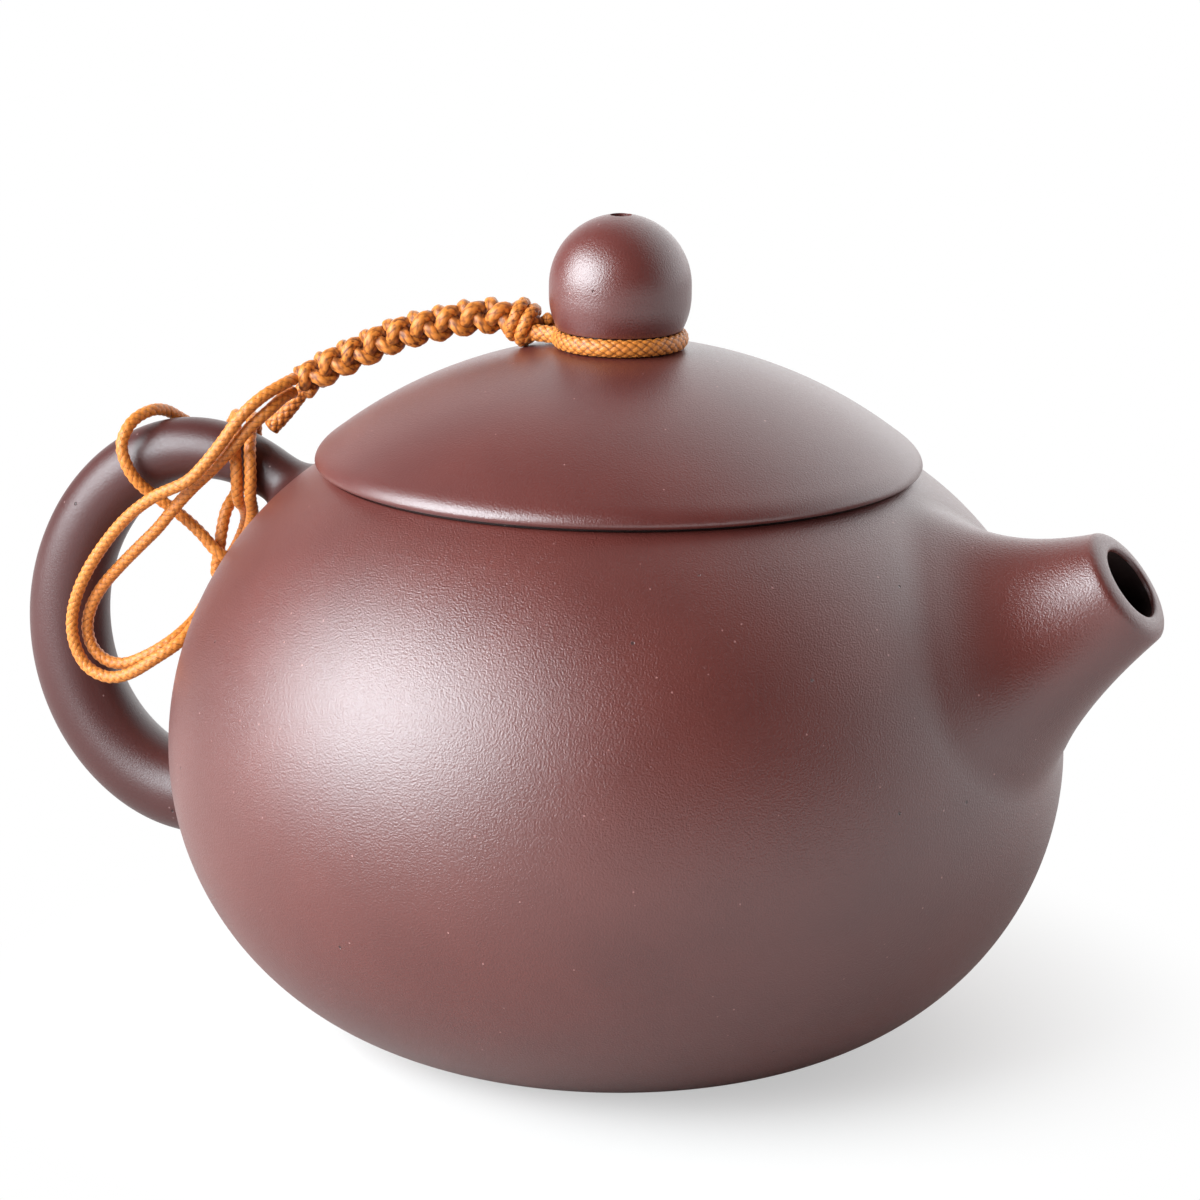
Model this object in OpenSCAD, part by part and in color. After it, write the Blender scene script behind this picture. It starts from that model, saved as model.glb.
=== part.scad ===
// Round teapot in unglazed clay, with a loose lid that a knotted cord ties to the handle.
// The origin is the middle of the foot, on the table. The spout points to +X, the handle to -X.

/* [Pot wall] */
// Widest diameter of the belly
belly_d = 92; // [84:1:104]
// Height of the widest point above the table
belly_z = 29.5; // [28:0.5:32]
// Diameter of the foot on the table
foot_d = 48; // [47:0.2:52]
// Thickness of the wall
wall = 3; // [2.6:0.1:3.4]

/* [Mouth] */
// Height of the lid's seat above the table
mouth_z = 58.5; // [57:0.5:61]
// Outer diameter of the seat
mouth_d = 60; // [59:0.2:62]
// Clear diameter of the mouth
mouth_bore_d = 53.6; // [51:0.2:55]
// Height of the ring that is luted on the shoulder
mouth_ring_h = 3; // [2.4:0.1:3.6]

/* [Base] */
// Diameter of the disc that closes the foot
base_disc_d = 42; // [36:0.5:43]
// Thickness of the disc at its edge
base_disc_t = 2.2; // [2:0.1:3]
// Height of the disc's edge above the table
base_lift = 0.4; // [0.2:0.1:0.8]
// Depth of the hollow pressed into the underside of the disc
base_hollow = 0.8; // [0.4:0.1:1.2]

/* [Spout] */
// Height at which the spout's axis leaves the belly
spout_root_z = 43.6; // [42:0.2:45]
// Rise of the axis above the table
spout_rise = 36.5; // [33:0.5:40]
// Length along the axis from the belly to the start of the lip
spout_len = 12.7; // [11:0.1:16]
// Height of the root on the belly
spout_root_h = 25.5; // [22:0.5:26]
// Width of the root on the belly
spout_root_w = 27; // [23:0.5:30]
// Outer diameter at the start of the lip
spout_tip_d = 12.2; // [11:0.1:13]
// Half angle of the taper at the tip
spout_taper = 22; // [16:0.5:24]
// Angle at which the root leaves the belly
spout_flare = 22; // [18:1:28]
// Length of the rounded lip
spout_lip = 1; // [0.6:0.1:1.4]
// Diameter of the bore at the tip
spout_bore_d = 7.5; // [6:0.1:8]
// Length of the straight bore behind the mouth
spout_bore_len = 5; // [4:0.5:7]

/* [Strainer] */
// Diameter of the pierced ball and of its hole in the wall
strainer_d = 16; // [13:0.5:17]
// Thickness of the ball
strainer_t = 1.2; // [1:0.1:1.6]
// Depth of its edge below the outside of the belly
strainer_sink = 1.8; // [1.6:0.1:2.2]
// Length of its straight collar
strainer_collar = 2.2; // [1.8:0.1:3]
// Diameter of each hole
strainer_hole_d = 2; // [1.4:0.1:2.2]
// Angle between one ring of holes and the next
strainer_step = 28; // [26:1:30]
// Rings of holes round the middle one
strainer_rings = 2; // [1:1:2]

/* [Handle] */
// Reach of the handle's centre line beyond the belly
handle_reach = 18.4; // [16:0.2:24]
// Height of its upper root
handle_top_z = 50; // [48:0.5:51]
// Height of its lower root
handle_foot_z = 19.5; // [17:0.5:22]
// Rise of the handle's shoulder above its upper root
handle_shoulder = 16; // [14:0.5:18]
// Drop of the handle's heel below its lower root
handle_heel = 8.3; // [6:0.1:10]
// Height toward which the handle's back bends
handle_back_z = 39.6; // [36:0.2:42]
// Diameter at the upper root
handle_top_d = 4.8; // [4.2:0.1:5.6]
// Swelling that the diameter runs toward in the middle
handle_swell_d = 10; // [9:0.1:11]
// Diameter at the lower root
handle_foot_d = 8.8; // [8:0.1:9.6]

/* [Lid] */
// Diameter of the lid over its rim
lid_d = 61.6; // [61:0.2:63]
// Radius of the dome
dome_round = 48; // [44:0.5:56]
// Radius of the rounded rim
rim_round = 1.2; // [1:0.1:1.6]
// Height of the rim's centre above the seat
rim_rise = 0.95; // [0.7:0.05:1]
// Thickness of the dome
lid_wall = 3; // [2.4:0.1:3.4]
// Thickness of the flange below the lid
flange_t = 2.3; // [1.8:0.1:2.8]
// Depth of the flange below the seat
flange_h = 5; // [4:0.5:7]
// Radial clearance between the flange and the mouth
lid_clearance = 0.3; // [0.2:0.05:0.5]

/* [Knob] */
// Diameter of the ball
knob_d = 14.4; // [13:0.2:15]
// Height of the straight side round the ball's middle
knob_side = 1; // [0.4:0.1:1.6]
// Height of the ball's centre above the top of the dome
knob_rise = 5.5; // [5.2:0.1:6]
// Diameter of the neck below the ball
neck_d = 10.6; // [9.4:0.2:10.8]
// Diameter of the vent through the knob and the dome
vent_d = 2.2; // [1.6:0.1:2.6]

/* [Cord] */
// Diameter of the cord of the neck loop and the tail
tie_d = 1.6; // [1.3:0.1:1.7]
// Thickness of the chain of snake knots
chain_d = 3.4; // [3:0.1:3.6]
// Length of one knot of the chain
knot_pitch = 2.9; // [2.6:0.1:3.2]
// Share by which each knot stands proud of the chain
knot_bulge = 0.13; // [0.05:0.01:0.2]
// Diameter of the two thin strands
strand_d = 1.2; // [0.9:0.1:1.3]
// Gap between the neck loop and the lid
cord_clearance = 0.2; // [0.2:0.05:0.3]

/* [Hidden] */
$fn = 96;

clay = [0.50, 0.31, 0.29];
clay_dark = [0.44, 0.27, 0.25];
cord_orange = [0.86, 0.50, 0.20];

// Extra length of a cutting solid beyond the face that it cuts
cut = 1;
// Depth of a luted root below the belly before it is trimmed to the belly
root_sink = 0.6;

function on_arc(centre, radius, angle) = centre + radius * [cos(angle), sin(angle)];
function angle_of(centre, point) = atan2(point[1] - centre[1], point[0] - centre[0]);

// The outer profile is two arcs that meet upright at the widest point
function arc_round(inward, height) = round(500 * (inward * inward + height * height) / inward) / 1000;
belly_r = belly_d / 2;
shoulder_round = arc_round(belly_r - mouth_d / 2, mouth_z - belly_z);
lower_round = arc_round(belly_r - foot_d / 2, belly_z);
function round_at(z) = z > belly_z ? shoulder_round : lower_round;
function pot_r(z) = let (r = round_at(z)) belly_r - r + sqrt(r * r - pow(z - belly_z, 2));
function pot_slope(z) = asin((z - belly_z) / round_at(z));

spout_root = [pot_r(spout_root_z), 0, spout_root_z];
spout_axis = [cos(spout_rise), 0, sin(spout_rise)];
bore_start = spout_len + spout_lip - spout_bore_len;

lid_r = lid_d / 2;
rim_c = [lid_r - rim_round, mouth_z + rim_rise];
dome_c = [0, rim_c[1] - sqrt(pow(dome_round - rim_round, 2) - pow(rim_c[0], 2))];
rim_turn = angle_of(dome_c, rim_c);
rim_trim = 0.04;
dome_top = dome_c[1] + dome_round - rim_trim;
flange_r = mouth_bore_d / 2 - lid_clearance;
flange_bore = flange_r - flange_t;
flange_bevel = 0.6;
knob_z = dome_top + knob_rise;

loop_r = neck_d / 2 + cord_clearance + tie_d / 2;
loop_z = dome_c[1] + sqrt(pow(dome_round + cord_clearance + tie_d / 2, 2) - loop_r * loop_r);

// Where the neck loop opens toward the chain, and how its two ends leave it
loop_open = 17;
loop_ends = [[-7.5, 1.3], [-9, 1.1]];
loop_steps = 26;

// Routes of the cord, chosen by hand
chain_route = [[-9.7, 0, 72.1], [-11.8, 0, 72.9], [-15, 0, 72.9], [-19, 0, 72], [-24.5, 0, 70.3],
               [-28.8, 0, 68.2], [-32.5, 0, 66.3], [-34.9, 0, 64.7]];
tail_route = [[-35.4, 1, 64.1], [-36.6, 1.3, 62.8], [-37.8, 1.1, 61.2], [-38.8, 0.6, 59.9],
              [-39.6, 0, 58.9]];
near_drop_route = [[-35.9, -1.1, 64.9], [-36.5, -2.8, 64.5], [-38.1, -4.7, 63.3], [-39.9, -6.1, 61.3],
                   [-41.9, -6.8, 58.4], [-43.8, -7.1, 56], [-45.8, -7.3, 54.1], [-49.5, -7.5, 52.2],
                   [-53, -7.5, 49.4], [-56.3, -7.5, 45.4], [-58.5, -7.5, 41.6], [-59.5, -7.5, 38.1],
                   [-59.2, -7.5, 35.2], [-57.8, -7.5, 33], [-55.4, -7.5, 32.1], [-52.8, -7.5, 32.7],
                   [-49.8, -7.2, 34.6], [-47.5, -5.8, 36.4], [-46.8, -3.8, 37.8], [-46.3, -1.8, 39.4]];
far_drop_route = [[-36.2, -0.6, 63.4], [-36.8, -2.1, 63], [-37.6, -3.8, 61.9], [-39.4, -5, 60],
                  [-41.5, -5.4, 57.5], [-43.8, -5.5, 55.1], [-45.9, -5.6, 53.1], [-47.9, -5.8, 50.9],
                  [-49.9, -5.9, 48.5], [-52, -6, 46.4], [-54.4, -6, 44], [-56.7, -6, 41.4],
                  [-58.1, -6, 38.9], [-58.5, -6, 36.6], [-57.8, -6, 34.6], [-56.2, -5.9, 33.4],
                  [-54.2, -5.8, 33.3], [-52.2, -5.6, 34.1], [-50.2, -5, 35.3], [-48.6, -3.6, 36.7],
                  [-47.7, -1.4, 38.2], [-47.4, 0.9, 40]];
near_wrap_route = [[-46.3, -1.8, 39.4], [-45.8, 0.2, 41], [-44.4, 1.4, 44.2], [-42.6, 0.8, 47.6],
                   [-40.9, -1.6, 50.2], [-40.2, -3.4, 52.2], [-39.9, -3.9, 54.6], [-40.2, -3.4, 57],
                   [-41, -1.6, 59], [-41.9, 0.8, 59.8], [-42.8, 3.2, 58.7], [-43.5, 4.2, 56.2],
                   [-44, 3.7, 53.4], [-44.6, 2.2, 51.4], [-45.1, 0.6, 49.6], [-45.3, -0.2, 47.4],
                   [-45.5, -0.5, 45.2], [-45.8, -0.5, 43.6]];
far_wrap_route = [[-47.4, 0.9, 40], [-46.8, 2.7, 42.4], [-45.3, 3.6, 45.4], [-43.9, 2.8, 48.2],
                  [-42.9, 0.3, 50.2], [-42.1, -2.3, 51.4], [-41.6, -3.7, 53.2], [-41.5, -4, 55.2],
                  [-41.9, -3.5, 57.5], [-42.6, -2, 59.2], [-43.6, 0.2, 60], [-44.9, 2.5, 59.3],
                  [-46.5, 4, 57.8], [-48.4, 4.6, 57], [-50.3, 4.4, 57.3], [-51.8, 3.2, 58.5],
                  [-52.5, 1.3, 59.6], [-53, -0.8, 60], [-53.8, -2.8, 59.5], [-54.3, -4.2, 58.4],
                  [-54.5, -5, 56.7], [-53.8, -5.1, 54.6], [-52.8, -4.6, 52.9], [-51.6, -3.8, 51.6],
                  [-49.9, -3, 50.2], [-48, -2.5, 48.7], [-46.5, -2.1, 47.2], [-45.7, -1.9, 46.2]];
chain_steps = 8;
strand_steps = 2;
strand_sides = 8;
chain_sides = 12;

// A smooth curve through the points of a route, with a number of steps to each span
function unit(v) = v / norm(v);
function curve_point(p, q, r, s, t) =
    0.5 * (2 * q + (r - p) * t + (2 * p - 5 * q + 4 * r - s) * t * t
           + (3 * q - p - 3 * r + s) * t * t * t);
function smooth(route, steps) =
    let (last = len(route) - 1)
    concat([for (i = [0 : last - 1], k = [0 : steps - 1])
                curve_point(route[max(i - 1, 0)], route[i], route[i + 1],
                            route[min(i + 2, last)], k / steps)],
           [route[last]]);

// Directions along a line of points, and a side direction carried along them without twist
function directions(line) =
    let (last = len(line) - 1)
    [for (i = [0 : last]) unit(line[min(i + 1, last)] - line[max(i - 1, 0)])];
function carried(dirs, side, i = 0) =
    i == len(dirs) ? []
    : let (flat = unit(side - (side * dirs[i]) * dirs[i]))
      concat([flat], carried(dirs, flat, i + 1));

// Rings of points across a line, square to it
function ring(centre, dir, side, radii) =
    let (n = len(radii), across = cross(dir, side))
    [for (k = [0 : n - 1]) centre + radii[k] * (cos(360 * k / n) * side + sin(360 * k / n) * across)];
function even(radius, sides) = [for (k = [1 : sides]) radius];
function tube_rings(line, radius, sides, side) =
    let (dirs = directions(line), sides_at = carried(dirs, side))
    [for (i = [0 : len(line) - 1]) ring(line[i], dirs[i], sides_at[i], even(radius, sides))];

// Least clear distance between parts of one tube that are more than a few diameters apart
function self_gap(line, diameter) =
    let (skip = ceil(4 * diameter / norm(line[1] - line[0])))
    min([for (i = [0 : len(line) - 1 - skip], j = [i + skip : len(line) - 1])
             norm(line[i] - line[j])]) - diameter;

// Closed skin over a stack of rings with the same number of points
module skin(rings) {
    n = len(rings[0]);
    last = len(rings) - 1;
    points = concat([for (r = rings) each r], [mean(rings[0]), mean(rings[last])]);
    foot = n * len(rings);
    sides = [for (i = [0 : last - 1], k = [0 : n - 1])
                 let (a = i * n + k, b = i * n + (k + 1) % n)
                 each [[a, a + n, b], [b, a + n, b + n]]];
    caps = [for (k = [0 : n - 1])
                let (next = (k + 1) % n)
                each [[foot, k, next], [foot + 1, last * n + next, last * n + k]]];
    polyhedron(points, concat(sides, caps), convexity = 6);
}
function mean(points) = [for (axis = [0 : 2]) sum([for (p = points) p[axis]]) / len(points)];
function sum(values) = [for (v = values) 1] * values;

// Half section of the pot inside its outer face, moved inward by an inset
module pot_profile(inset) {
    intersection() {
        translate([belly_r - shoulder_round, belly_z]) circle(shoulder_round - inset);
        band(0, belly_d, belly_z, mouth_z);
    }
    intersection() {
        translate([belly_r - lower_round, belly_z]) circle(lower_round - inset);
        band(0, belly_d, 0, belly_z);
    }
}
module band(from_r, to_r, from_z, to_z) {
    translate([from_r, from_z]) square([to_r - from_r, to_z - from_z]);
}
module pot_solid() {
    rotate_extrude() pot_profile(0);
}
module at_spout() {
    translate(spout_root) rotate([0, 90 - spout_rise, 0]) children();
}
module strainer_hole(to) {
    at_spout() translate([0, 0, -strainer_d / 2]) cylinder(d = strainer_d, h = strainer_d / 2 + to);
}

module pot_wall() {
    color(clay) difference() {
        rotate_extrude() difference() {
            intersection() {
                pot_profile(0);
                band(0, belly_d, 0, mouth_z - mouth_ring_h);
            }
            pot_profile(wall);
            band(0, base_disc_d / 2, -cut, belly_z);
            band(0, mouth_bore_d / 2, belly_z, mouth_z);
        }
        strainer_hole(strainer_d / 2);
    }
}

module base_disc() {
    hollow_r = base_disc_d / 2 - wall;
    press_fn = 360;
    press_round = (hollow_r * hollow_r + base_hollow * base_hollow) / (2 * base_hollow);
    color(clay_dark) rotate_extrude() difference() {
        band(0, base_disc_d / 2, base_lift, base_lift + base_disc_t);
        translate([0, base_lift + base_hollow - press_round]) circle(press_round, $fn = press_fn);
    }
}

module mouth_ring() {
    color(clay) rotate_extrude() intersection() {
        pot_profile(0);
        band(mouth_bore_d / 2, belly_d, mouth_z - mouth_ring_h, mouth_z);
    }
}

// The spout's skin runs in one sweep from the flared root on the belly to the lip
root_points = 48;
root_turns = [for (k = [1 : root_points]) -360 * k / root_points];
spout_stations = 12;
// Shares of the spout's length over which the root and the tip bend, the tip mostly on top
root_pull = 0.66;
tip_pull = 0.26;
tip_tilt = 0.24;
function root_point(a, sink) =
    let (z = spout_root_z + spout_root_h / 2 * cos(a),
         turn = spout_root_w / 2 * sin(a) / spout_root[0] * 180 / PI,
         slope = pot_slope(z),
         out = [cos(slope) * cos(turn), cos(slope) * sin(turn), sin(slope)])
    [[pot_r(z) * cos(turn), pot_r(z) * sin(turn), z] - sink * out, out];
function tip_radial(a) = [-sin(spout_rise) * cos(a), sin(a), cos(spout_rise) * cos(a)];
function spout_line(a) =
    let (root = root_point(a, root_sink), out = root[1],
         inward = spout_root - root[0],
         along = unit(inward - (inward * out) * out),
         tip = spout_root + spout_len * spout_axis + spout_tip_d / 2 * tip_radial(a),
         leave = cos(spout_flare) * along + sin(spout_flare) * out,
         arrive = cos(spout_taper) * spout_axis - sin(spout_taper) * tip_radial(a))
    [root[0],
     root[0] + spout_len * root_pull * leave,
     tip - spout_len * (tip_pull + tip_tilt * cos(a)) * arrive,
     tip];
function bezier(p, t) =
    let (n = len(p) - 1)
    n == 0 ? p[0] : bezier([for (i = [0 : n - 1]) (1 - t) * p[i] + t * p[i + 1]], t);
spout_lip_turns = [30, 60, 90];
function spout_rings() =
    let (lines = [for (a = root_turns) spout_line(a)],
         tip_c = spout_root + spout_len * spout_axis)
    concat([for (i = [0 : spout_stations]) [for (line = lines) bezier(line, i / spout_stations)]],
           [for (turn = spout_lip_turns)
                [for (a = root_turns)
                     tip_c + spout_lip * sin(turn) * spout_axis
                     + (spout_tip_d / 2 - spout_lip * (1 - cos(turn))) * tip_radial(a)]]);
module spout() {
    color(clay) difference() {
        skin(spout_rings());
        pot_solid();
        strainer_hole(-strainer_sink);
        at_spout() {
            translate([0, 0, -strainer_sink])
                cylinder(d1 = strainer_d, d2 = spout_bore_d, h = bore_start + strainer_sink);
            translate([0, 0, bore_start - cut]) cylinder(d = spout_bore_d, h = spout_bore_len + 2 * cut);
        }
    }
}

// A pierced ball on a short collar, set into the wall behind the spout
module strainer() {
    ball_z = -strainer_sink - strainer_collar;
    ball_r = strainer_d / 2;
    color(clay_dark) at_spout() difference() {
        union() {
            translate([0, 0, ball_z]) cylinder(r = ball_r, h = strainer_collar);
            translate([0, 0, ball_z]) intersection() {
                sphere(ball_r);
                translate([0, 0, -ball_r]) cylinder(r = ball_r + cut, h = ball_r);
            }
        }
        translate([0, 0, ball_z]) sphere(ball_r - strainer_t);
        translate([0, 0, ball_z]) cylinder(r = ball_r - strainer_t, h = strainer_collar + cut);
        translate([0, 0, ball_z]) for (row = [0 : strainer_rings]) {
            holes = max(6 * row, 1);
            for (k = [1 : holes]) rotate([0, 180 - row * strainer_step, 360 * k / holes])
                translate([0, 0, ball_r - strainer_t - cut])
                    cylinder(d = strainer_hole_d, h = strainer_t + 2 * cut);
        }
    }
}

// The handle's centre line is one smooth curve from the shoulder round to the lower belly
handle_sides = 24;
handle_stations = 40;
handle_in = -belly_r - handle_reach / 3;
handle_out = -belly_r - handle_reach * 3 / 4;
handle_back = -belly_r - handle_reach * 7 / 4;
handle_line = [[2 * wall - pot_r(handle_top_z), handle_top_z],
               [handle_in, handle_top_z + handle_shoulder],
               [handle_out, handle_top_z + handle_shoulder / 10],
               [handle_back, handle_back_z],
               [handle_out, handle_foot_z - handle_heel],
               [wall / 2 - pot_r(handle_foot_z), handle_foot_z]];
module handle() {
    stops = [for (i = [0 : handle_stations]) i / handle_stations];
    line = [for (t = stops) let (p = bezier(handle_line, t)) [p[0], 0, p[1]]];
    dirs = directions(line);
    radii = [handle_top_d / 2, handle_swell_d / 2, handle_foot_d / 2];
    rings = [for (i = [0 : handle_stations])
                 ring(line[i], dirs[i], [0, 1, 0], even(bezier(radii, stops[i]), handle_sides))];
    color(clay) difference() {
        skin(rings);
        pot_solid();
    }
}

// Half section of the lid inside its outer face: the dome trims the rounded rim
module lid_profile() {
    far = 2 * dome_round;
    intersection() {
        translate(dome_c) circle(dome_round - rim_trim);
        band(0, lid_d, mouth_z, dome_top + cut);
        union() {
            translate(rim_c) circle(rim_round);
            band(0, rim_c[0], mouth_z, rim_c[1]);
            polygon([dome_c, on_arc(dome_c, far, rim_turn), on_arc(dome_c, far, (rim_turn + 90) / 2),
                     on_arc(dome_c, far, 90)]);
        }
    }
}
module vent() {
    translate([0, 0, mouth_z]) cylinder(d = vent_d, h = knob_z + knob_d - mouth_z);
}

module lid_dome() {
    color(clay) difference() {
        rotate_extrude() difference() {
            lid_profile();
            intersection() {
                translate(dome_c) circle(dome_round - lid_wall);
                band(0, flange_bore, mouth_z - cut, dome_top);
            }
        }
        vent();
    }
}

module lid_flange() {
    low = mouth_z - flange_h;
    color(clay_dark) rotate_extrude() polygon([[flange_bore, low], [flange_r - flange_bevel, low],
        [flange_r, low + flange_bevel], [flange_r, mouth_z], [flange_bore, mouth_z]]);
}

// The ball is cut flat above the neck, where the cord lies
module knob_profile() {
    foot = loop_z + tie_d / 2 + cord_clearance;
    half = knob_side / 2;
    intersection() {
        union() {
            for (end = [-half, half]) translate([0, knob_z + end]) circle(d = knob_d);
            band(0, knob_d / 2, knob_z - half, knob_z + half);
        }
        band(0, knob_d, foot, knob_z + knob_d);
    }
    band(0, neck_d / 2, dome_top - cut, knob_z);
}
module knob() {
    color(clay) difference() {
        rotate_extrude() knob_profile();
        translate([0, 0, dome_c[1]]) sphere(dome_round - rim_trim);
        vent();
    }
}

module cord(route, diameter) {
    line = smooth(route, strand_steps);
    color(cord_orange) skin(tube_rings(line, diameter / 2, strand_sides, [0, 1, 0.1]));
}

module neck_loop() {
    sweep = 360 - 2 * loop_open;
    turn = [for (i = [0 : loop_steps])
                let (a = 180 - loop_open - sweep * i / loop_steps)
                [loop_r * cos(a), loop_r * sin(a), loop_z]];
    ends = [for (p = loop_ends) [p[0], p[1], loop_z]];
    line = concat([ends[1], ends[0]], turn, [for (p = ends) [p[0], -p[1], p[2]]]);
    echo(neck_loop_gap = self_gap(line, tie_d));
    color(cord_orange) skin(tube_rings(line, tie_d / 2, strand_sides, [0, 0, 1]));
}

// Each knot swells on one side of the chain and the next on the other
module knot_chain() {
    line = smooth(chain_route, chain_steps);
    dirs = directions(line);
    sides_at = carried(dirs, [0, 0, 1]);
    step = norm(line[1] - line[0]);
    function knot_r(i, k) =
        let (lean = cos(360 * k / chain_sides), phase = cos(360 * i * step / knot_pitch))
        chain_d / 2 * (1 - knot_bulge + knot_bulge * lean * phase);
    color(cord_orange) skin([for (i = [0 : len(line) - 1])
        ring(line[i], dirs[i], sides_at[i], [for (k = [0 : chain_sides - 1]) knot_r(i, k)])]);
}

module chain_tail() {
    cord(tail_route, tie_d);
}

module near_drop() {
    cord(near_drop_route, strand_d);
}

module far_drop() {
    cord(far_drop_route, strand_d);
}

module near_wrap() {
    echo(near_wrap_gap = self_gap(smooth(near_wrap_route, strand_steps), strand_d));
    cord(near_wrap_route, strand_d);
}

module far_wrap() {
    echo(far_wrap_gap = self_gap(smooth(far_wrap_route, strand_steps), strand_d));
    cord(far_wrap_route, strand_d);
}

pot_wall();
base_disc();
mouth_ring();
spout();
strainer();
handle();
lid_dome();
lid_flange();
knob();
neck_loop();
knot_chain();
chain_tail();
near_drop();
far_drop();
near_wrap();
far_wrap();
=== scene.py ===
import math

import bmesh
import bpy
from mathutils import Matrix, Vector


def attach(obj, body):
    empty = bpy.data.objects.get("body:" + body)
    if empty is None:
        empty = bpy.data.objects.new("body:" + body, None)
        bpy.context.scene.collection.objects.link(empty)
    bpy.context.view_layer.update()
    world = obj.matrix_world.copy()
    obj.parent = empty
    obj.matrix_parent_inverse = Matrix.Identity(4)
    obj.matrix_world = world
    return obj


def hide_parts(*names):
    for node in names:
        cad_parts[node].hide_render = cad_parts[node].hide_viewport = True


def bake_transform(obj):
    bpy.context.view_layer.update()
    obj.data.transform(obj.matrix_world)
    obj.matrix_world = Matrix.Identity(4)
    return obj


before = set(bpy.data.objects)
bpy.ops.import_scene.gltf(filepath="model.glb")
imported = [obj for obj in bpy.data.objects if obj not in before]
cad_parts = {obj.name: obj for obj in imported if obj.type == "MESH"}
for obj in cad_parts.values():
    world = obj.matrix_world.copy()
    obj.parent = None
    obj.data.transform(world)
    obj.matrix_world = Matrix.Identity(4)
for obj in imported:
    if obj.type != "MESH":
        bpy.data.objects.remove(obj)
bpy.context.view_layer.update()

# The studio: a white table top that runs into a white backdrop, with a large soft window to the
# left of the pot. The room behind the camera is dim, so the front of the clay keeps its colour.
scene = bpy.context.scene
scene.view_settings.view_transform = "Standard"

camera_turn = math.radians(22)
camera_reach, camera_height = 0.420, 0.14877
look_down, look_aside, camera_roll = 0.2434, -0.0042, 0.0090
sideways = Vector((math.cos(camera_turn), math.sin(camera_turn), 0))
away = Vector((-math.sin(camera_turn), math.cos(camera_turn), 0))
up = Vector((0, 0, 1))
ahead = math.cos(look_aside) * away + math.sin(look_aside) * sideways
sight = math.cos(look_down) * ahead - math.sin(look_down) * up
right = sight.cross(up).normalized()
right, top = (math.cos(camera_roll) * right + math.sin(camera_roll) * right.cross(sight),
              math.cos(camera_roll) * right.cross(sight) - math.sin(camera_roll) * right)
camera_data = bpy.data.cameras.new("photo_camera")
camera_data.sensor_width, camera_data.lens = 36, 126.7
camera_data.clip_start, camera_data.clip_end = 0.01, 20
camera = bpy.data.objects.new("photo_camera", camera_data)
scene.collection.objects.link(camera)
camera.matrix_world = Matrix.Translation(-camera_reach * away + camera_height * up) @ Matrix(
    (right, top, -sight)).transposed().to_4x4()
scene.camera = camera


def link_mesh(name, bm):
    mesh = bpy.data.meshes.new(name)
    bm.to_mesh(mesh)
    bm.free()
    piece = bpy.data.objects.new(name, mesh)
    scene.collection.objects.link(piece)
    return piece


def new_material(name):
    material = bpy.data.materials.new(name)
    material.use_nodes = True
    nodes, links = material.node_tree.nodes, material.node_tree.links
    nodes.clear()
    return material, nodes, links


bm = bmesh.new()
bmesh.ops.create_grid(bm, x_segments=1, y_segments=1, size=4)
table = link_mesh("table", bm)
table_white, nodes, links = new_material("table_white")
out = nodes.new("ShaderNodeOutputMaterial")
where = nodes.new("ShaderNodeTexCoord")
span = nodes.new("ShaderNodeVectorMath")
span.operation = "LENGTH"
links.new(where.outputs["Object"], span.inputs[0])


def set_range(node, low, high, to_low, to_high):
    for socket, number in zip(("From Min", "From Max", "To Min", "To Max"), (low, high, to_low, to_high)):
        node.inputs[socket].default_value = number


# The table fades to plain white between two distances from the pot.
def table_cloth(colour, low, high, glow_low):
    matt = nodes.new("ShaderNodeBsdfDiffuse")
    matt.inputs["Color"].default_value = (*colour, 1)
    glow = nodes.new("ShaderNodeEmission")
    glow.inputs["Strength"].default_value = 1
    share = nodes.new("ShaderNodeMapRange")
    share.interpolation_type = "SMOOTHSTEP"
    set_range(share, low, high, glow_low, 1)
    mix = nodes.new("ShaderNodeMixShader")
    links.new(span.outputs["Value"], share.inputs["Value"])
    links.new(share.outputs[0], mix.inputs[0])
    links.new(matt.outputs[0], mix.inputs[1])
    links.new(glow.outputs[0], mix.inputs[2])
    return mix.outputs[0]


ray = nodes.new("ShaderNodeLightPath")
blend = nodes.new("ShaderNodeMixShader")
links.new(ray.outputs["Is Camera Ray"], blend.inputs[0])
links.new(table_cloth((0.58, 0.56, 0.55), low=0.04, high=0.15, glow_low=0), blend.inputs[1])
links.new(table_cloth((0.94, 0.94, 0.93), low=0.03, high=0.07, glow_low=0.5), blend.inputs[2])
links.new(blend.outputs[0], out.inputs["Surface"])
table.data.materials.append(table_white)

pot_middle, window_distance = 0.035, 0.75
toward_window = (-0.91 * sideways - 0.415 * away + 0.42 * up).normalized()
window_data = bpy.data.lights.new("window_left", "AREA")
window_data.shape, window_data.size, window_data.size_y = "RECTANGLE", 0.80, 0.58
window_data.energy, window_data.color = 16.4, (0.93, 0.98, 1)
window = bpy.data.objects.new("window_left", window_data)
scene.collection.objects.link(window)
window.matrix_world = Matrix.Translation(window_distance * toward_window + pot_middle * up) @ (
    toward_window.to_track_quat("Z", "Y").to_matrix().to_4x4())

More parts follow.
